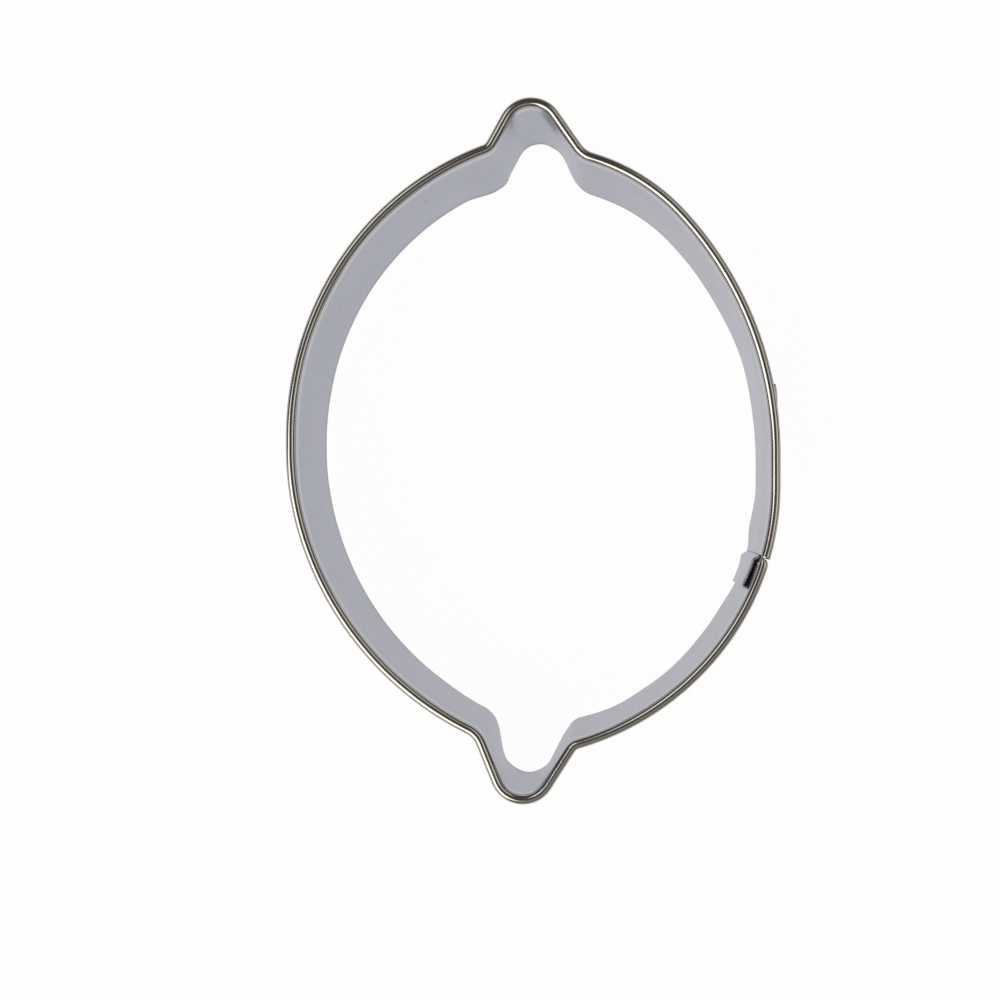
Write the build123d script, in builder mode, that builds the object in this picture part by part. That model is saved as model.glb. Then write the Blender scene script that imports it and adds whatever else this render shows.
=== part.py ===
# Lemon-shaped cookie cutter: one strip of thin stainless steel, its top edge rolled
# outwards into a bead, bent to a lemon and closed by a spot-welded lap on its right side.
# Millimetres, +Z up. It stands on its cutting edge, and +Y points to the upper nub.
import os
from math import acos, cos, degrees, sin

from build123d import *

os.makedirs("parts", exist_ok=True)

# Sizes over the rolled rim
overall_length = 80.0
overall_width = 56.0
height = 22.0

# Sheet and rolled rim
sheet = 0.3
rim_width = 1.17
curl_gap = 0.08

# Right side: a short straight at the widest place, then a belly arc each way, which a
# tighter shoulder arc takes on to the neck
right_low_y = -3.9
right_straight = 3.6
right_upper_radius = 40.45
right_upper_turn = 43.0
right_lower_radius = 30.4
right_lower_turn = 35.8

# Left side: likewise
left_low_y = 0.33
left_straight = 1.38
left_upper_radius = 36.35
left_upper_turn = 31.2
left_lower_radius = 34.0
left_lower_turn = 19.1

# Nubs: a round tip and two straight flanks, which meet the sides at the necks
upper_tip_x = -0.06
upper_tip_radius = 3.8
upper_right_neck_x = 6.16
upper_right_rise = 6.12
upper_right_neck_radius = 2.5
upper_left_neck_x = -5.18
upper_left_rise = 5.21
upper_left_neck_radius = 0.9
lower_tip_x = -0.96
lower_tip_radius = 3.77
lower_right_neck_x = 5.1
lower_right_rise = 6.27
lower_right_neck_radius = 1.0
lower_left_neck_x = -6.57
lower_left_rise = 7.57
lower_left_neck_radius = 2.3

# Lap joint: runs are measured along the right side, upwards from its lower tangent point
seam_run = -8.9
rim_end_gap = 0.45
offset_length = 1.2
tab_length = 3.7
tab_drop = 1.4
tab_lift = 0.35
lap_length = 20.3
lap_clearance = 0.3
ply_gap = 0.1
lap_bulge = 0.58
bulge_run = -2.8
end_lift = 0.75

# Spot welds: two columns of two, low and high on the wall
weld_diameter = 2.2
weld_runs = (-6.9, 3.0)
weld_heights = (6.0, 14.0)
weld_land = 1.2

# What follows from those sizes
bead_radius = rim_width / 2
bead_height = height - bead_radius
rim_underside = height - rim_width
half_length = overall_length / 2
half_width = overall_width / 2
upper_right_neck = Vector(upper_right_neck_x, half_length - upper_right_rise)
upper_left_neck = Vector(upper_left_neck_x, half_length - upper_left_rise)
lower_right_neck = Vector(lower_right_neck_x, lower_right_rise - half_length)
lower_left_neck = Vector(lower_left_neck_x, lower_left_rise - half_length)
ply_step = sheet + ply_gap
tab_height = rim_underside - tab_drop
lap_height = rim_underside - lap_clearance
seam_low = seam_run - offset_length / 2
seam_high = seam_run + offset_length / 2

# Both ends as stations: run along the side, distance outside the wall's inner face
tab_stations = [
    (seam_high, 0),
    (seam_low, -ply_step),
    (seam_run - tab_length, -ply_step - tab_lift),
]
lap_stations = [
    (seam_low, 0),
    (seam_high, ply_step),
    (weld_runs[0] + weld_land, ply_step),
    (bulge_run, ply_step + lap_bulge),
    (weld_runs[1] - weld_land, ply_step),
    (weld_runs[1] + weld_land, ply_step),
    (seam_run + lap_length, ply_step + end_lift),
]


def right_centre(run):
    """Centre, radius and angle of the right side's arc at a run."""
    if run < 0:
        radius = right_lower_radius
        return Vector(half_width - radius, right_low_y), radius, run / radius
    past = run - right_straight
    radius = right_upper_radius
    return Vector(half_width - radius, right_low_y + right_straight), radius, past / radius


def beside(run, out):
    """Point of the right side at a run, and outside the wall's inner face."""
    if 0 <= run <= right_straight:
        return Vector(half_width - rim_width + out, right_low_y + run)
    centre, radius, turn = right_centre(run)
    reach = radius - rim_width + out
    return centre + Vector(cos(turn), sin(turn)) * reach


def along(run):
    """Direction of the right side at a run, towards the upper nub."""
    if 0 <= run <= right_straight:
        return Vector(0, 1)
    turn = right_centre(run)[2]
    return Vector(-sin(turn), cos(turn))


def ease(run_a, out_a, run_b, out_b):
    """Smooth bend that leaves and arrives along the wall."""
    pull = (run_b - run_a) / 3
    start = beside(run_a, out_a)
    end = beside(run_b, out_b)
    return Bezier(start, start + along(run_a) * pull, end - along(run_b) * pull, end)


def ply(stations):
    """One thickness of sheet through stations of run and distance out, as a face."""
    for skin in (0, sheet):
        for (run_a, out_a), (run_b, out_b) in zip(stations, stations[1:]):
            ease(run_a, out_a + skin, run_b, out_b + skin)
    for run, out in (stations[0], stations[-1]):
        Line(beside(run, out), beside(run, out + sheet))


def wedge(run_a, run_b):
    """Sector that cuts the lower right side between two runs, square to the wall."""
    centre = right_centre(run_a)[0]
    Polyline(centre, beside(run_a, 2 * rim_width), beside(run_b, 2 * rim_width), close=True)


def side(start, up, radius, turn, neck):
    """Belly arc that leaves a straight upwards (1) or downwards (-1), and its shoulder."""
    belly = JernArc(start, (0, up), radius, turn)
    TangentArc(belly @ 1, neck, tangent=belly % 1)


def touch(centre, radius, point, hand):
    """Where a line from a point touches a circle, on its left (1) or right (-1)."""
    away = point - centre
    turn = degrees(acos(radius / away.length))
    return centre + away.normalized().rotate(Axis.Z, hand * turn) * radius


def nub(tip, radius, first_neck, last_neck):
    """Flank, tip and flank of a nub, drawn anticlockwise between its necks."""
    centre = tip - Vector(0, tip.Y).normalized() * radius
    first_touch = touch(centre, radius, first_neck, 1)
    last_touch = touch(centre, radius, last_neck, -1)
    Line(first_neck, first_touch)
    ThreePointArc(first_touch, tip, last_touch)
    Line(last_touch, last_neck)


# Outline over the rim, seen from above
with BuildSketch() as rim_outline:
    with BuildLine():
        right_low = Vector(half_width, right_low_y)
        right_high = Vector(half_width, right_low_y + right_straight)
        left_high = Vector(-half_width, left_low_y + left_straight)
        left_low = Vector(-half_width, left_low_y)
        Line(right_low, right_high)
        side(right_high, 1, right_upper_radius, right_upper_turn, upper_right_neck)
        nub(Vector(upper_tip_x, half_length), upper_tip_radius, upper_right_neck, upper_left_neck)
        side(left_high, 1, left_upper_radius, -left_upper_turn, upper_left_neck)
        Line(left_high, left_low)
        side(left_low, -1, left_lower_radius, left_lower_turn, lower_left_neck)
        nub(Vector(lower_tip_x, -half_length), lower_tip_radius, lower_left_neck, lower_right_neck)
        side(right_low, -1, right_lower_radius, -right_lower_turn, lower_right_neck)
    make_face()
    for neck, radius in (
        (upper_right_neck, upper_right_neck_radius),
        (upper_left_neck, upper_left_neck_radius),
        (lower_left_neck, lower_left_neck_radius),
        (lower_right_neck, lower_right_neck_radius),
    ):
        fillet(rim_outline.vertices().sort_by_distance(neck)[0], radius)

# Wall: sheet on edge all the way round, open where its two ends pass each other
with BuildSketch() as wall_plan:
    add(rim_outline.sketch)
    offset(amount=sheet - rim_width)
    offset(amount=-sheet, mode=Mode.SUBTRACT)
    with BuildLine():
        wedge(seam_low, seam_high)
    make_face(mode=Mode.SUBTRACT)

# Inner end: steps inwards past the other end and springs away from it, its top notched down
with BuildSketch() as tab_plan:
    with BuildLine():
        ply(tab_stations)
    make_face()

# Outer end: steps outwards and laps the other end, sprung away between and past the welds
with BuildSketch() as lap_plan:
    with BuildLine():
        ply(lap_stations)
    make_face()

# Middle line of the rolled rim
with BuildSketch(Plane.XY.offset(bead_height)) as bead_line:
    add(rim_outline.sketch)
    offset(amount=-bead_radius)
rim_path = bead_line.sketch.faces()[0].outer_wire()
rim_heading = rim_path % 0
rim_outward = Vector(rim_heading.Y, -rim_heading.X)
curl_plane = Plane(origin=rim_path @ 0, x_dir=rim_outward, z_dir=-rim_heading)

with BuildPart() as strip:
    # rolled rim: the sheet curls over outwards and comes back down to the wall
    with BuildSketch(curl_plane):
        Circle(bead_radius)
        Circle(bead_radius - sheet, mode=Mode.SUBTRACT)
        with Locations((-bead_radius, 0)):
            Rectangle(
                sheet + curl_gap,
                bead_radius,
                align=(Align.MIN, Align.MAX),
                mode=Mode.SUBTRACT,
            )
    sweep(path=rim_path)
    with BuildSketch():
        with BuildLine():
            wedge(seam_run - rim_end_gap / 2, seam_run + rim_end_gap / 2)
        make_face()
    extrude(amount=height, mode=Mode.SUBTRACT)
    # wall and its two passing ends
    with BuildSketch():
        add(wall_plan.sketch)
    extrude(amount=bead_height)
    with BuildSketch():
        add(tab_plan.sketch)
    extrude(amount=tab_height)
    with BuildSketch():
        add(lap_plan.sketch)
    extrude(amount=lap_height)
strip.part.label = "formed_strip"
export_step(strip.part, "parts/formed_strip.step")

# Weld nuggets: discs that bridge the gap between the two thicknesses, face to face
with BuildPart() as nuggets:
    for run in weld_runs:
        outward = -along(run).rotate(Axis.Z, 90)
        for level in weld_heights:
            start = beside(run, sheet / 2) + Vector(0, 0, level)
            with BuildSketch(Plane(origin=start, x_dir=along(run), z_dir=outward)):
                Circle(weld_diameter / 2)
            extrude(amount=ply_step)
    add(strip.part, mode=Mode.SUBTRACT)
nuggets.part.label = "spot_welds"
export_step(nuggets.part, "parts/spot_welds.step")
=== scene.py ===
import math

import bpy
from mathutils import Matrix, Vector


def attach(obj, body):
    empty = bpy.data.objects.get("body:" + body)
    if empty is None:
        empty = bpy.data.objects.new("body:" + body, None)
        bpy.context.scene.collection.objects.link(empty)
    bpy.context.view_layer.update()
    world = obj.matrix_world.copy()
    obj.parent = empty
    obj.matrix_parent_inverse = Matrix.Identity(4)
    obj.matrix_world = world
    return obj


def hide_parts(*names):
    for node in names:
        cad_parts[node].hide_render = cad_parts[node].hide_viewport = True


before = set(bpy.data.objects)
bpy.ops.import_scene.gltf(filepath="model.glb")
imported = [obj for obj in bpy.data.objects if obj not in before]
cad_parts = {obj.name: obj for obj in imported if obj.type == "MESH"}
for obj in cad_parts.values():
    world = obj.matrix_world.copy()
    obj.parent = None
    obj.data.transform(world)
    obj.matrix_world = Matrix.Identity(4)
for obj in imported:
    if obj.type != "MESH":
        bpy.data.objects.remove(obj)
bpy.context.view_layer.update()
mm = 0.001  # sizes in the dictionaries are millimetres unless a note says otherwise
print("stage: frame loaded")


# Outline of the cutter over its rolled rim, counter-clockwise from the right side's lowest straight
outline = {
    "halfLength": 40.0,
    "halfWidth": 28.0,
    "rightLowY": -3.9,
    "rightStraight": 3.6,
    "leftLowY": 0.33,
    "leftStraight": 1.38,
    # each side's belly arc, radius and turn in degrees; a shoulder arc takes it on to the neck
    "rightUpper": (40.45, 43.0),
    "leftUpper": (36.35, 31.2),
    "leftLower": (34.0, 19.1),
    "rightLower": (30.4, 35.8),
    # necks, x and y, and the radius that rounds each
    "upperRightNeck": (6.16, 33.88, 2.5),
    "upperLeftNeck": (-5.18, 34.79, 0.9),
    "lowerLeftNeck": (-6.57, -32.43, 2.3),
    "lowerRightNeck": (5.1, -33.73, 1.0),
    # tips, x and radius
    "upperTip": (-0.06, 3.8),
    "lowerTip": (-0.96, 3.77),
}


def quarterSide(belly, startY, neck, flip):
    # belly and shoulder of one side, drawn in the upper right quarter and flipped to their own
    flipX, flipY = flip
    radius, turn = belly[0], math.radians(belly[1])
    start = Vector((outline["halfWidth"], startY * flipY))
    centre = start - Vector((radius, 0))
    bend = centre + Vector((math.cos(turn), math.sin(turn))) * radius
    reach = Vector((neck[0] * flipX, neck[1] * flipY)) - bend
    inwards = Vector((-math.cos(turn), -math.sin(turn)))
    shoulder = bend + inwards * (reach.length_squared / (2 * reach.dot(inwards)))
    points = {"start": start, "belly": centre, "bend": bend, "shoulder": shoulder}
    return {name: Vector((point.x * flipX, point.y * flipY)) for name, point in points.items()}


def touchPoint(centre, radius, point, hand):
    away = point - centre
    turn = hand * math.acos(radius / away.length)
    away = away.normalized() * radius
    away.rotate(Matrix.Rotation(turn, 2))
    return centre + away


def neckRound(side, neck, touch, outward):
    # small hollow arc that joins a side's shoulder and a nub's flank
    centre, radius = side["shoulder"], (side["bend"] - side["shoulder"]).length
    small = neck[2]
    foot = Vector(neck[:2])
    along = (touch - foot).normalized()
    base = foot + outward * small - centre
    half = base.dot(along)
    gone = half * half - base.length_squared + (radius + small) ** 2
    middle = centre + base + along * (-half + math.sqrt(gone))
    onSide = centre + (middle - centre) * (radius / (radius + small))
    return middle, onSide, middle - outward * small


def makeArc(centre, start, end, hollow=False):
    first = math.atan2(start.y - centre.y, start.x - centre.x)
    last = math.atan2(end.y - centre.y, end.x - centre.x)
    if hollow and last > first:
        last -= 2 * math.pi
    if not hollow and last < first:
        last += 2 * math.pi
    radius = (start - centre).length
    return {
        "length": abs(last - first) * radius,
        "centre": centre,
        "radius": radius,
        "first": first,
        "last": last,
        "outward": -1 if hollow else 1,
    }


def makeLine(start, end):
    return {"length": (end - start).length, "start": start, "along": (end - start).normalized()}


def nubStretches(firstSide, lastSide, firstNeck, lastNeck, tip, tipY):
    # a nub counter-clockwise, and where it leaves and meets its two sides
    radius = tip[1]
    centre = Vector((tip[0], tipY - math.copysign(radius, tipY)))
    firstTouch = touchPoint(centre, radius, Vector(firstNeck[:2]), 1)
    lastTouch = touchPoint(centre, radius, Vector(lastNeck[:2]), -1)
    firstOut = (firstTouch - centre).normalized()
    lastOut = (lastTouch - centre).normalized()
    firstRound, sideEnd, flankStart = neckRound(firstSide, firstNeck, firstTouch, firstOut)
    lastRound, sideStart, flankEnd = neckRound(lastSide, lastNeck, lastTouch, lastOut)
    nub = [
        makeArc(firstRound, sideEnd, flankStart, hollow=True),
        makeLine(flankStart, firstTouch),
        makeArc(centre, firstTouch, lastTouch),
        makeLine(lastTouch, flankEnd),
        makeArc(lastRound, flankEnd, sideStart, hollow=True),
    ]
    return nub, sideEnd, sideStart


def makeOutline(spec):
    rightHighY = spec["rightLowY"] + spec["rightStraight"]
    leftHighY = spec["leftLowY"] + spec["leftStraight"]
    rightUpper = quarterSide(spec["rightUpper"], rightHighY, spec["upperRightNeck"], (1, 1))
    leftUpper = quarterSide(spec["leftUpper"], leftHighY, spec["upperLeftNeck"], (-1, 1))
    leftLower = quarterSide(spec["leftLower"], spec["leftLowY"], spec["lowerLeftNeck"], (-1, -1))
    rightLower = quarterSide(spec["rightLower"], spec["rightLowY"], spec["lowerRightNeck"], (1, -1))
    upperNub, rightUpperEnd, leftUpperEnd = nubStretches(
        rightUpper,
        leftUpper,
        spec["upperRightNeck"],
        spec["upperLeftNeck"],
        spec["upperTip"],
        spec["halfLength"],
    )
    lowerNub, leftLowerEnd, rightLowerEnd = nubStretches(
        leftLower,
        rightLower,
        spec["lowerLeftNeck"],
        spec["lowerRightNeck"],
        spec["lowerTip"],
        -spec["halfLength"],
    )
    return [
        makeLine(rightLower["start"], rightUpper["start"]),
        makeArc(rightUpper["belly"], rightUpper["start"], rightUpper["bend"]),
        makeArc(rightUpper["shoulder"], rightUpper["bend"], rightUpperEnd),
        *upperNub,
        makeArc(leftUpper["shoulder"], leftUpperEnd, leftUpper["bend"]),
        makeArc(leftUpper["belly"], leftUpper["bend"], leftUpper["start"]),
        makeLine(leftUpper["start"], leftLower["start"]),
        makeArc(leftLower["belly"], leftLower["start"], leftLower["bend"]),
        makeArc(leftLower["shoulder"], leftLower["bend"], leftLowerEnd),
        *lowerNub,
        makeArc(rightLower["shoulder"], rightLowerEnd, rightLower["bend"]),
        makeArc(rightLower["belly"], rightLower["bend"], rightLower["start"]),
    ]


stretches = makeOutline(outline)
perimeter = sum(stretch["length"] for stretch in stretches)
print(f"stage: outline of {perimeter:.1f} mm")


def station(run):
    # point over the rim at a run, and the direction out of the cutter there
    run %= perimeter
    for stretch in stretches:
        if run <= stretch["length"]:
            break
        run -= stretch["length"]
    else:
        run = stretch["length"]
    if "along" in stretch:
        along = stretch["along"]
        return stretch["start"] + along * run, Vector((along.y, -along.x))
    share = min(run / stretch["length"], 1.0)
    angle = stretch["first"] + (stretch["last"] - stretch["first"]) * share
    ray = Vector((math.cos(angle), math.sin(angle)))
    return stretch["centre"] + ray * stretch["radius"], ray * stretch["outward"]


# Section of the sheet: the wall, and the rim that is the same sheet rolled over outwards
section = {
    "height": 21.998,
    "footLevel": 0.006,
    "sheet": 0.3,
    "rimWidth": 1.17,
    "flareWidth": 0.09,  # the wall eases out by this much below the roll
    "flareStart": 20.0,
    "flareTurn": 11.0,  # degrees, where the roll takes over
    "bendRadius": 0.55,  # from there to the crest
    "curlRadius": 0.54,  # past the crest
    "rollTurn": 300.0,  # degrees
    "wallRows": 30,
    "rollRows": 44,
    "stationGap": 0.4,  # between two stations along the outline
    "stationTurn": 6.0,  # degrees between them at the tight bends
    "stationClear": 0.05,  # none stands closer than this to a piece's own ends
    "waviness": 0.16,  # of the thin wall
    "waves": 90,  # per metre
}
flareTurn = math.radians(section["flareTurn"])
rollLevel = section["height"] - section["bendRadius"] * (1 - math.sin(flareTurn))
rimUnderside = section["height"] - section["rimWidth"]


def runsBetween(first, last):
    # runs at every bend's ends and often enough between, from first up to last
    runs = [first]
    start = math.floor(first / perimeter) * perimeter
    while start < last:
        for stretch in stretches:
            count = math.ceil(stretch["length"] / section["stationGap"])
            if "first" in stretch:
                turn = math.degrees(abs(stretch["last"] - stretch["first"]))
                count = max(count, math.ceil(turn / section["stationTurn"]))
            for i in range(count):
                run = start + stretch["length"] * i / count
                if first + section["stationClear"] < run < last - section["stationClear"]:
                    runs.append(run)
            start += stretch["length"]
    return [*runs, last]


# Hand-bent wall: how far its cutting edge stands out of the rim's inner line, or below 0 inside it
lean = {
    # run along the outline and millimetres out
    "rightUpperSide": [(0, -0.1), (8, -0.12), (17, 0.07), (26, -0.1), (44, -0.14), (48, -0.1)],
    "upperNub": [(51.5, 0.38), (54, 0.05), (57, -0.05), (62.5, -0.08), (65, -0.5), (69, -0.08)],
    "leftSide": [(105, -0.15), (116, -0.26), (141, 0)],
    "lowerNub": [(149, 0.25), (150.2, 0.2), (154.6, 0.9), (157.5, 0.6), (161.5, 0.29), (167, -0.1)],
    "rightLowerSide": [(173.5, 0.14), (178, -0.05), (192, -0.36), (198, 0), (200.5, -0.1), (203.5, -0.45)],
}
leanStops = [stop for place in lean.values() for stop in place]


def eased(share):
    # 0 to 1 with a slow start and a slow end
    return share * share * (3 - 2 * share)


def leanAt(run):
    run %= perimeter
    stops = [*leanStops, (leanStops[0][0] + perimeter, leanStops[0][1])]
    for (runA, leanA), (runB, leanB) in zip(stops, stops[1:]):
        if runA <= run <= runB:
            return leanA + (leanB - leanA) * eased((run - runA) / (runB - runA))
    return stops[-1][1]


def besideWall(run, out):
    point, outward = station(run)
    return point + outward * (out - section["rimWidth"])


def pathCurve(name, stops, tightness, leans):
    # open path of a sweep in plan, in metres, from its runs and points; tightness shrinks the
    # section along it, and the tilt leans the wall by what its cutting edge stands out
    data = bpy.data.curves.new(name, "CURVE")
    data.dimensions = "3D"
    spline = data.splines.new("POLY")
    spline.points.add(len(stops) - 1)
    for place, (run, point), share in zip(spline.points, stops, tightness):
        place.co = (point.x * mm, point.y * mm, 0, 1)
        place.radius = share
        place.tilt = math.atan(-leans(run) / rollLevel) if leans else 0
    path = bpy.data.objects.new(name, data)
    bpy.context.scene.collection.objects.link(path)
    return path


def mathIn(tree):
    # gives the function that adds a Math node to a tree, fed by sockets or plain numbers
    def compute(operation, first, second=None):
        node = tree.nodes.new("ShaderNodeMath")
        node.operation = operation
        for socket, value in zip(node.inputs, (first, second)):
            if isinstance(value, (int, float)):
                socket.default_value = value
            elif value is not None:
                tree.links.new(value, socket)
        return node.outputs[0]

    return compute


def sheetTree():
    # sweeps a sheet's section along a path: a straight wall, then a bend that rolls outwards
    tree = bpy.data.node_groups.new("sheetAlongPath", "GeometryNodeTree")
    inputs = {
        "Path": "Geometry",
        "Hinge level": "Float",
        "Wall start": "Float",
        "Wall length": "Float",
        "Wall rows": "Int",
        "Flare width": "Float",
        "Flare start": "Float",
        "Flare turn": "Float",
        "Bend radius": "Float",
        "Curl radius": "Float",
        "Roll turn": "Float",
        "Roll rows": "Int",
        "Waviness": "Float",
        "Material": "Material",
    }
    for name, kind in inputs.items():
        tree.interface.new_socket(name, in_out="INPUT", socket_type="NodeSocket" + kind)
    tree.interface.new_socket("Sheet", in_out="OUTPUT", socket_type="NodeSocketGeometry")
    nodes, links = tree.nodes, tree.links
    given = nodes.new("NodeGroupInput").outputs
    made = nodes.new("NodeGroupOutput")
    compute = mathIn(tree)

    # section: rows up the wall first, then rows round the roll
    line = nodes.new("GeometryNodeCurvePrimitiveLine")
    rows = nodes.new("GeometryNodeResampleCurve")
    links.new(line.outputs["Curve"], rows.inputs["Curve"])
    total = compute("ADD", given["Wall rows"], given["Roll rows"])
    links.new(compute("ADD", total, 1), rows.inputs["Count"])
    index = nodes.new("GeometryNodeInputIndex").outputs[0]
    onWall = compute("MINIMUM", index, given["Wall rows"])
    onRoll = compute("SUBTRACT", index, onWall)
    evenShare = compute("DIVIDE", onWall, compute("MAXIMUM", given["Wall rows"], 1))
    left = compute("SUBTRACT", 1, evenShare)
    wallShare = compute("SUBTRACT", 1, compute("MULTIPLY", left, left))  # closer rows near the top
    wallRise = compute("ADD", given["Wall start"], compute("MULTIPLY", wallShare, given["Wall length"]))
    flareSpan = compute("SUBTRACT", given["Hinge level"], given["Flare start"])
    intoFlare = compute("DIVIDE", compute("SUBTRACT", wallRise, given["Flare start"]), flareSpan)
    flared = compute("MAXIMUM", intoFlare, 0)
    wallOut = compute("MULTIPLY", given["Flare width"], compute("MULTIPLY", flared, flared))
    rollShare = compute("DIVIDE", onRoll, compute("MAXIMUM", given["Roll rows"], 1))
    rollSpan = compute("SUBTRACT", given["Roll turn"], given["Flare turn"])
    turn = compute("ADD", given["Flare turn"], compute("MULTIPLY", rollShare, rollSpan))
    toCrest = compute("MINIMUM", turn, math.pi / 2)
    bendOut = compute("SUBTRACT", compute("COSINE", given["Flare turn"]), compute("COSINE", toCrest))
    bendRise = compute("SUBTRACT", compute("SINE", toCrest), compute("SINE", given["Flare turn"]))
    pastOut = compute("SUBTRACT", compute("COSINE", toCrest), compute("COSINE", turn))
    pastRise = compute("SUBTRACT", compute("SINE", turn), compute("SINE", toCrest))
    rollOut = compute(
        "ADD",
        compute("MULTIPLY", given["Bend radius"], bendOut),
        compute("MULTIPLY", given["Curl radius"], pastOut),
    )
    rollRise = compute(
        "ADD",
        compute("MULTIPLY", given["Bend radius"], bendRise),
        compute("MULTIPLY", given["Curl radius"], pastRise),
    )
    out = compute("ADD", wallOut, rollOut)
    rise = compute("ADD", wallRise, rollRise)
    spot = nodes.new("ShaderNodeCombineXYZ")
    links.new(out, spot.inputs["X"])
    links.new(compute("SUBTRACT", given["Hinge level"], rise), spot.inputs["Y"])
    bent = nodes.new("GeometryNodeSetPosition")
    links.new(rows.outputs["Curve"], bent.inputs["Geometry"])
    links.new(spot.outputs[0], bent.inputs["Position"])
    across = nodes.new("GeometryNodeStoreNamedAttribute")
    across.data_type = "FLOAT"
    across.domain = "POINT"
    across.inputs["Name"].default_value = "across"
    links.new(bent.outputs["Geometry"], across.inputs["Geometry"])
    links.new(rise, across.inputs["Value"])

    # the sweep, its section upright but for the wall's lean
    upright = nodes.new("GeometryNodeSetCurveNormal")
    upright.mode = "Z_UP"
    links.new(given["Path"], upright.inputs["Curve"])
    along = nodes.new("GeometryNodeStoreNamedAttribute")
    along.data_type = "FLOAT"
    along.domain = "POINT"
    along.inputs["Name"].default_value = "along"
    reached = nodes.new("GeometryNodeSplineParameter")
    links.new(upright.outputs["Curve"], along.inputs["Geometry"])
    links.new(reached.outputs["Length"], along.inputs["Value"])
    sweep = nodes.new("GeometryNodeCurveToMesh")
    links.new(along.outputs["Geometry"], sweep.inputs["Curve"])
    links.new(across.outputs["Geometry"], sweep.inputs["Profile Curve"])
    tightness = nodes.new("GeometryNodeInputRadius")
    links.new(tightness.outputs[0], sweep.inputs["Scale"])

    # lift to its level, with slow waves in the thin wall
    place = nodes.new("GeometryNodeInputPosition")
    noise = nodes.new("ShaderNodeTexNoise")
    noise.inputs["Scale"].default_value = section["waves"]
    noise.inputs["Detail"].default_value = 1
    links.new(place.outputs[0], noise.inputs["Vector"])
    normal = nodes.new("GeometryNodeInputNormal")
    wave = nodes.new("ShaderNodeVectorMath")
    wave.operation = "SCALE"
    links.new(normal.outputs[0], wave.inputs[0])
    swing = compute("SUBTRACT", noise.outputs["Fac"], 0.5)
    links.new(compute("MULTIPLY", swing, given["Waviness"]), wave.inputs["Scale"])
    level = nodes.new("ShaderNodeCombineXYZ")
    links.new(given["Hinge level"], level.inputs["Z"])
    shift = nodes.new("ShaderNodeVectorMath")
    links.new(wave.outputs[0], shift.inputs[0])
    links.new(level.outputs[0], shift.inputs[1])
    lifted = nodes.new("GeometryNodeSetPosition")
    links.new(sweep.outputs["Mesh"], lifted.inputs["Geometry"])
    links.new(shift.outputs[0], lifted.inputs["Offset"])
    smooth = nodes.new("GeometryNodeSetShadeSmooth")
    links.new(lifted.outputs["Geometry"], smooth.inputs["Geometry"])
    real = nodes.new("GeometryNodeRealizeInstances")
    links.new(smooth.outputs["Geometry"], real.inputs["Geometry"])
    coated = nodes.new("GeometryNodeSetMaterial")
    links.new(real.outputs["Geometry"], coated.inputs["Geometry"])
    links.new(given["Material"], coated.inputs["Material"])
    links.new(coated.outputs["Geometry"], made.inputs["Sheet"])
    return tree


sheetAlongPath = sheetTree()


def sweepSheet(name, stops, settings, material, tightness=None, leans=leanAt):
    # runs the tree on a path, keeps the result as a plain mesh and gives it the sheet's thickness
    path = pathCurve(name + "Path", stops, tightness or [1] * len(stops), leans)
    modifier = path.modifiers.new("sheet", "NODES")
    modifier.node_group = sheetAlongPath
    settings = {
        "Hinge level": rollLevel * mm,
        "Flare width": section["flareWidth"] * mm,
        "Flare start": section["flareStart"] * mm,
        "Flare turn": flareTurn,
        "Material": material,
        **settings,
    }
    for item in sheetAlongPath.interface.items_tree:
        if item.in_out == "INPUT" and item.name in settings:
            modifier[item.identifier] = settings[item.name]
    bpy.context.view_layer.update()
    ready = path.evaluated_get(bpy.context.evaluated_depsgraph_get())
    mesh = bpy.data.meshes.new_from_object(ready)
    bpy.data.objects.remove(path)
    piece = bpy.data.objects.new(name, mesh)
    mesh.name = name
    bpy.context.scene.collection.objects.link(piece)
    thick = piece.modifiers.new("thickness", "SOLIDIFY")
    thick.thickness = section["sheet"] * mm
    thick.offset = -1
    print(f"stage: {name}, {len(mesh.polygons)} faces")
    return piece


# Steel: grain that runs along the strip, slow clouds in its tone, a few specks, and on the wall a painted
# highlight band and painted shade just under the roll
wallFinish = {
    "light": (0.52, 0.522, 0.565, 1),
    "dark": (0.44, 0.443, 0.485, 1),
    "edgeTint": (0.75, 0.76, 0.8, 1),
    "roughness": 0.24,
    "roughnessSwing": 0.05,
    "grain": (60, 14000),  # per metre, along the strip and across it
    "grainSpread": (0.3, 0.7),  # of the noise, over which the roughness swings
    "grainDepth": 0.0012,
    "clouds": 90,  # per metre
    "detail": 4,  # of both noises
    "specks": 1300,  # per metre
    "speckLevel": 0.25,  # of the noise, below which a speck is full, and what it takes to fade out
    "speckShare": 0.006,
    "speckTone": (0.3, 0.3, 0.31, 1),
    # levels under the roll between which the wall grows lighter, then darker again, and the tones: a
    # painted highlight band below the roll, then painted shade where the wall meets it
    "paintedHighlightShadeLevels": (19.7, 20.3, 21.2, 21.45),
    "paintedHighlightTone": (0.64, 0.64, 0.68, 1),
    "paintedShadeTone": (0.35, 0.35, 0.37, 1),
}
rimFinishPaintedWarm = {
    **wallFinish,
    # the rim is the same sheet of steel as the wall; its warmer, darker tone and edge tint paint in the
    # lamps' warm reflection
    "light": (0.50, 0.49, 0.47, 1),
    "dark": (0.42, 0.41, 0.385, 1),
    "edgeTint": (0.5, 0.49, 0.47, 1),
    "roughness": 0.15,
    "roughnessSwing": 0.04,
    "speckShare": 0.0,
    "paintedHighlightShadeLevels": None,
}
weldFinish = {
    **wallFinish,
    "light": (0.36, 0.34, 0.32, 1),
    "dark": (0.24, 0.22, 0.21, 1),
    "roughness": 0.42,
}


# Mark that a spot weld leaves: a dull disc with a straw-coloured ring of heat round it
weldMark = {
    "disc": (0.9, 1.1),  # from its middle, where the disc starts to fade and where it has faded
    "ring": (1.1, 1.9),
    "discTone": (0.33, 0.33, 0.34, 1),
    "ringTone": (0.36, 0.29, 0.2, 1),
}


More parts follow.
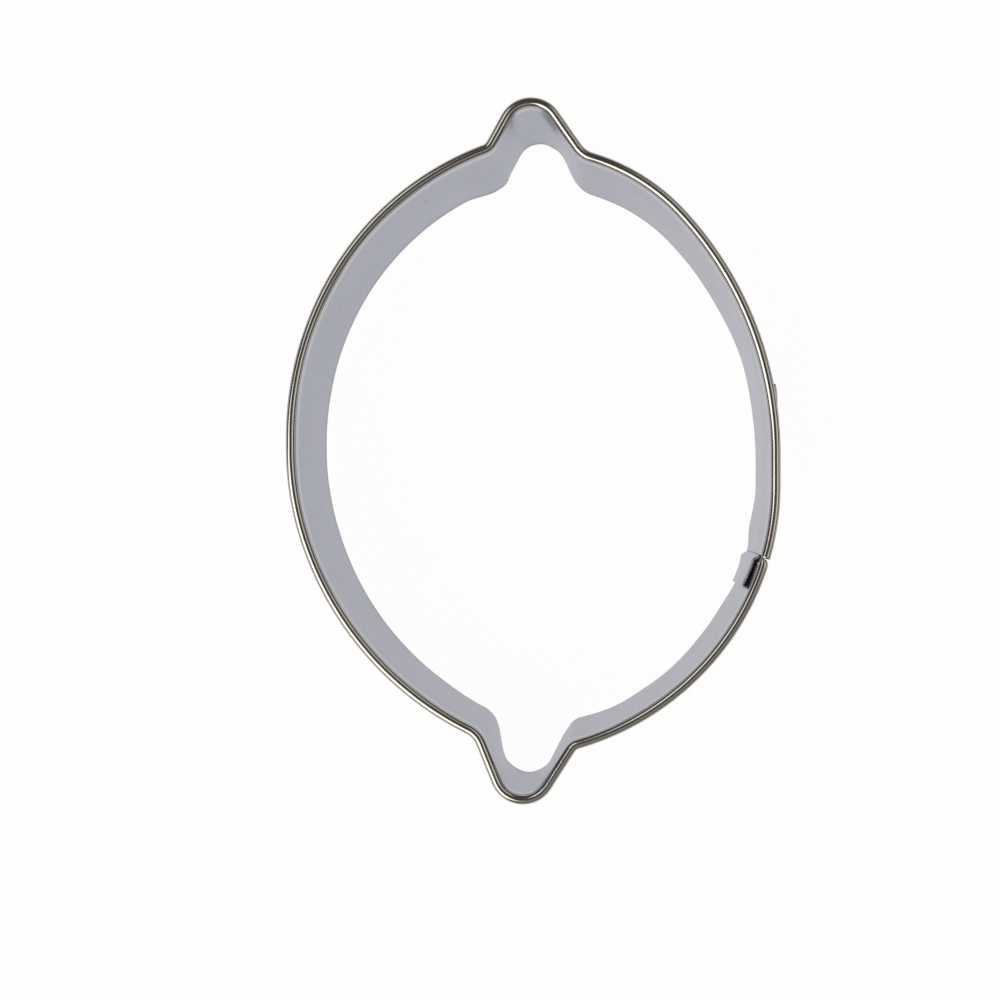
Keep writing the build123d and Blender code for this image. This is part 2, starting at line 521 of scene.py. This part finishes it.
def steelMaterial(name, finish, followsSheet=True, marks=()):
    material = bpy.data.materials.new(name)
    material.use_nodes = True
    nodes, links = material.node_tree.nodes, material.node_tree.links
    shader = nodes["Principled BSDF"]
    shader.inputs["Metallic"].default_value = 1
    shader.inputs["Specular Tint"].default_value = finish["edgeTint"]
    place = nodes.new("ShaderNodeTexCoord").outputs["Object"]

    def noiseAt(vector, scale, detail):
        noise = nodes.new("ShaderNodeTexNoise")
        noise.inputs["Scale"].default_value = scale
        noise.inputs["Detail"].default_value = detail
        links.new(vector, noise.inputs["Vector"])
        return noise.outputs["Fac"]

    def ranged(value, low, high, first, last):
        span = nodes.new("ShaderNodeMapRange")
        span.inputs["From Min"].default_value = low
        span.inputs["From Max"].default_value = high
        span.inputs["To Min"].default_value = first
        span.inputs["To Max"].default_value = last
        links.new(value, span.inputs["Value"])
        return span.outputs["Result"]

    def mixed(factor, first, second):
        mix = nodes.new("ShaderNodeMix")
        mix.data_type = "RGBA"
        for socket, value in (("Factor", factor), ("A", first), ("B", second)):
            if isinstance(value, tuple):
                mix.inputs[socket].default_value = value
            else:
                links.new(value, mix.inputs[socket])
        return mix.outputs["Result"]

    onSheet = place
    if followsSheet:
        joined = nodes.new("ShaderNodeCombineXYZ")
        for attribute, socket in (("along", "X"), ("across", "Y")):
            stored = nodes.new("ShaderNodeAttribute")
            stored.attribute_name = attribute
            links.new(stored.outputs["Fac"], joined.inputs[socket])
        onSheet = joined.outputs[0]
    stretch = nodes.new("ShaderNodeMapping")
    stretch.inputs["Scale"].default_value = (finish["grain"][0], finish["grain"][1], 1)
    links.new(onSheet, stretch.inputs["Vector"])
    grain = noiseAt(stretch.outputs["Vector"], 1, finish["detail"])
    clouds = noiseAt(place, finish["clouds"], finish["detail"])
    tone = mixed(clouds, finish["dark"], finish["light"])
    # painted highlight band below the roll, then painted shade at the roll's root, laid into the wall's
    # colour by height
    if followsSheet and finish["paintedHighlightShadeLevels"]:
        highlightFrom, highlightTo, shadeFrom, shadeTo = [level * mm for level in finish["paintedHighlightShadeLevels"]]
        stored = nodes.new("ShaderNodeAttribute")
        stored.attribute_name = "across"
        level = stored.outputs["Fac"]
        tone = mixed(ranged(level, highlightFrom, highlightTo, 0, 1), tone, finish["paintedHighlightTone"])
        tone = mixed(ranged(level, shadeFrom, shadeTo, 0, 1), tone, finish["paintedShadeTone"])
    if finish["speckShare"]:
        full = finish["speckLevel"]
        specks = ranged(noiseAt(place, finish["specks"], 1), full, full + finish["speckShare"], 1, 0)
        tone = mixed(specks, tone, finish["speckTone"])
    smoothest = finish["roughness"] - finish["roughnessSwing"]
    roughest = finish["roughness"] + finish["roughnessSwing"]
    rough = ranged(grain, *finish["grainSpread"], smoothest, roughest)
    for along, across in marks:
        away = nodes.new("ShaderNodeVectorMath")
        away.operation = "DISTANCE"
        links.new(onSheet, away.inputs[0])
        away.inputs[1].default_value = (along * mm, across * mm, 0)
        for part in ("ring", "disc"):
            full, gone = weldMark[part]
            shown = ranged(away.outputs["Value"], full * mm, gone * mm, 1, 0)
            tone = mixed(shown, tone, weldMark[part + "Tone"])
    links.new(tone, shader.inputs["Base Color"])
    links.new(rough, shader.inputs["Roughness"])
    bump = nodes.new("ShaderNodeBump")
    bump.inputs["Distance"].default_value = finish["grainDepth"] * mm
    links.new(grain, bump.inputs["Height"])
    links.new(bump.outputs["Normal"], shader.inputs["Normal"])
    return material


# Seam: the rim stops and starts there, and the two ends of the strip pass each other under it
lap = {
    "seamRun": -8.9,
    "rimRuns": (-8.55, -8.65),  # where the rim starts and, once round, where it ends
    "offsetLength": 1.2,
    "tabLength": 3.7,
    "tabDrop": 1.4,
    "tabClear": (-9.05, 0.6),  # run past the seam, and how far in the inner end stands there
    "tabLift": 0.35,  # how far it springs away from the wall at its free edge, only at its top
    "length": 20.3,
    "clearance": 0.3,
    "plyGap": 0.1,
    "bulgeRun": -2.8,
    "bulge": 0.572,
    "endLift": 0.75,
    "weldRuns": (-6.9, 3.0),
    "weldHeights": (6.0, 14.0),
    "weldLand": 1.2,
    "stationGap": 0.2,
    "crushedLength": 1.0,  # of the rim's lower end, which is pinched round
    "crushedShare": 0.62,
    "crushedStations": 12,
}
seamLow = lap["seamRun"] - lap["offsetLength"] / 2
seamHigh = lap["seamRun"] + lap["offsetLength"] / 2
plyStep = section["sheet"] + lap["plyGap"]
firstWeld, lastWeld = lap["weldRuns"]

wallSteel = steelMaterial("wallSteel", wallFinish)
rimSteel = steelMaterial("rimSteel", rimFinishPaintedWarm)
weldSteel = steelMaterial("weldSteel", weldFinish, followsSheet=False)
weldMarks = [(run - seamLow, level) for run in lap["weldRuns"] for level in lap["weldHeights"]]
lapSteel = steelMaterial("lapSteel", wallFinish, marks=weldMarks)


def easedPath(stops):
    # runs and plan points through stops of run and distance out, leaving each along the wall
    points = []
    for (runA, outA), (runB, outB) in zip(stops, stops[1:]):
        count = math.ceil(abs(runB - runA) / lap["stationGap"])
        for i in range(count):
            run = runA + (runB - runA) * i / count
            points.append((run, besideWall(run, outA + (outB - outA) * eased(i / count))))
    return [*points, (stops[-1][0], besideWall(*stops[-1]))]


def wallUpTo(level, waviness=0):
    # the tree's inputs for a wall that stands from its foot up to a level
    return {
        "Wall start": section["footLevel"] * mm,
        "Wall length": (level - section["footLevel"]) * mm,
        "Wall rows": section["wallRows"],
        "Waviness": waviness * mm,
    }


wallRuns = runsBetween(seamHigh, perimeter + seamLow)
wall = sweepSheet(
    "cutting_wall",
    [(run, besideWall(run, 0)) for run in wallRuns],
    wallUpTo(rollLevel, section["waviness"]),
    wallSteel,
)

rimStart = lap["rimRuns"][0]
rimEnd = perimeter + lap["rimRuns"][1]
crushedFrom = rimEnd - lap["crushedLength"]
crushedGap = lap["crushedLength"] / lap["crushedStations"]
crushedRuns = [crushedFrom + crushedGap * (i + 1) for i in range(lap["crushedStations"])]
rimRuns = [run for run in runsBetween(rimStart, rimEnd) if run < crushedFrom] + crushedRuns


def rimTightness(run):
    # share of its full section that the rim has at a run
    past = min(1, max(0, (run - crushedFrom) / lap["crushedLength"]))
    return lap["crushedShare"] + (1 - lap["crushedShare"]) * math.sqrt(1 - past * past)


rim = sweepSheet(
    "rolled_rim",
    [(run, besideWall(run, 0)) for run in rimRuns],
    {
        "Wall start": rollLevel * mm,
        "Bend radius": section["bendRadius"] * mm,
        "Curl radius": section["curlRadius"] * mm,
        "Roll turn": math.radians(section["rollTurn"]),
        "Roll rows": section["rollRows"],
    },
    rimSteel,
    [rimTightness(run) for run in rimRuns],
    leans=None,
)

tabEnd = lap["seamRun"] - lap["tabLength"]
tabStops = [
    (seamHigh, 0),
    (lap["tabClear"][0], -lap["tabClear"][1]),
    (tabEnd, -plyStep - lap["tabLift"]),
]


def tabLean(run):
    # the inner end's foot stays by the wall's while its top springs away
    return leanAt(run) + lap["tabLift"] * (seamHigh - run) / (seamHigh - tabEnd)


innerEnd = sweepSheet(
    "inner_end",
    easedPath(tabStops)[::-1],
    wallUpTo(rimUnderside - lap["tabDrop"], section["waviness"]),
    wallSteel,
    leans=tabLean,
)

lapStops = [
    (seamLow, 0),
    (seamHigh, plyStep),
    (firstWeld + lap["weldLand"], plyStep),
    (lap["bulgeRun"], plyStep + lap["bulge"]),
    (lastWeld - lap["weldLand"], plyStep),
    (lastWeld + lap["weldLand"], plyStep),
    (lap["seamRun"] + lap["length"], plyStep + lap["endLift"]),
]
outerEnd = sweepSheet(
    "outer_end",
    easedPath(lapStops),
    wallUpTo(rimUnderside - lap["clearance"]),
    lapSteel,
)

for piece in (wall, rim, innerEnd, outerEnd):
    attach(piece, "root")
    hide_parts("formed_strip")
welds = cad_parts["spot_welds"]
welds.data.materials.clear()
welds.data.materials.append(weldSteel)
print("stage: steel on every piece")


# Room: a white floor, a soft box to the left, dimmer ones beside it and opposite, dim overhead
room = {
    "floorSize": 24.0,  # metres, and so are the sizes below
    "floorColour": (0.9, 0.9, 0.9, 1),
    "shownWhite": 0.975,  # share of the floor that is plain white to the camera
    "mirroredWhite": 0.77,  # and in the steel
    "worldColour": (1.0, 0.86, 0.76, 1),
    "worldStrength": 0.1,
    "distance": 0.5,
    "boxes": {
        # name: (azimuth, degrees from straight up, width, height, power, colour)
        "keyBox": (213, 46, 0.52, 0.44, 1.85, (1.0, 0.97, 0.9)),
        "fillBox": (140, 38, 0.22, 0.26, 0.26, (1.0, 0.97, 0.9)),
        "farBox": (22, 46, 0.6, 0.3, 0.42, (1.0, 0.97, 0.94)),
        "sideBox": (-45, 40, 0.85, 0.42, 0.32, (1.0, 0.98, 0.96)),
    },
}


def floorMaterial():
    material = bpy.data.materials.new("whiteSweep")
    material.use_nodes = True
    nodes, links = material.node_tree.nodes, material.node_tree.links
    matte = nodes["Principled BSDF"]
    matte.inputs["Base Color"].default_value = room["floorColour"]
    matte.inputs["Roughness"].default_value = 1
    matte.inputs["Specular IOR Level"].default_value = 0
    glow = nodes.new("ShaderNodeEmission")
    ray = nodes.new("ShaderNodeLightPath").outputs
    compute = mathIn(material.node_tree)
    seen = compute("MULTIPLY", ray["Is Camera Ray"], room["shownWhite"])
    mirrored = compute("MAXIMUM", ray["Is Glossy Ray"], ray["Is Transmission Ray"])
    share = compute("MAXIMUM", seen, compute("MULTIPLY", mirrored, room["mirroredWhite"]))
    both = nodes.new("ShaderNodeMixShader")
    links.new(share, both.inputs[0])
    links.new(matte.outputs[0], both.inputs[1])
    links.new(glow.outputs[0], both.inputs[2])
    links.new(both.outputs[0], nodes["Material Output"].inputs["Surface"])
    return material


half = room["floorSize"] / 2
floorMesh = bpy.data.meshes.new("floor")
corners = [(-half, -half, 0), (half, -half, 0), (half, half, 0), (-half, half, 0)]
floorMesh.from_pydata(corners, [], [(0, 1, 2, 3)])
floorMesh.materials.append(floorMaterial())
floor = bpy.data.objects.new("floor", floorMesh)
bpy.context.scene.collection.objects.link(floor)

for name, (azimuth, fromUp, width, tall, power, colour) in room["boxes"].items():
    light = bpy.data.lights.new(name, "AREA")
    light.shape = "RECTANGLE"
    light.size = width
    light.size_y = tall
    light.energy = power
    light.color = colour
    box = bpy.data.objects.new(name, light)
    side = math.sin(math.radians(fromUp))
    towards = Vector((
        math.cos(math.radians(azimuth)) * side,
        math.sin(math.radians(azimuth)) * side,
        math.cos(math.radians(fromUp)),
    ))
    box.location = towards * room["distance"]
    box.rotation_mode = "QUATERNION"
    box.rotation_quaternion = (-towards).to_track_quat("-Z", "Y")
    bpy.context.scene.collection.objects.link(box)

world = bpy.data.worlds.new("room")
bpy.context.scene.world = world
world.use_nodes = True
world.node_tree.nodes["Background"].inputs["Color"].default_value = room["worldColour"]
world.node_tree.nodes["Background"].inputs["Strength"].default_value = room["worldStrength"]
bpy.context.scene.view_settings.view_transform = "Standard"
print("stage: room and lights")


# Camera: almost straight above, a little to the right, as the photograph was taken
view = {
    "place": (10.07, -6.54, 233.94),
    "aim": (-3.54, -5.58, 21.4),
    "lens": 67.7,
    "sensor": 36.0,
    "nearest": 10.0,
}
place = Vector(view["place"]) * mm
back = (place - Vector(view["aim"]) * mm).normalized()
right = Vector((0, 1, 0)).cross(back).normalized()
camera = bpy.data.objects.new("camera", bpy.data.cameras.new("camera"))
camera.data.lens = view["lens"]
camera.data.sensor_width = view["sensor"]
camera.data.clip_start = view["nearest"] * mm
turned = Matrix((right, back.cross(right), back)).transposed().to_4x4()
camera.matrix_world = Matrix.Translation(place) @ turned
bpy.context.scene.collection.objects.link(camera)
bpy.context.scene.camera = camera
print("stage: camera")
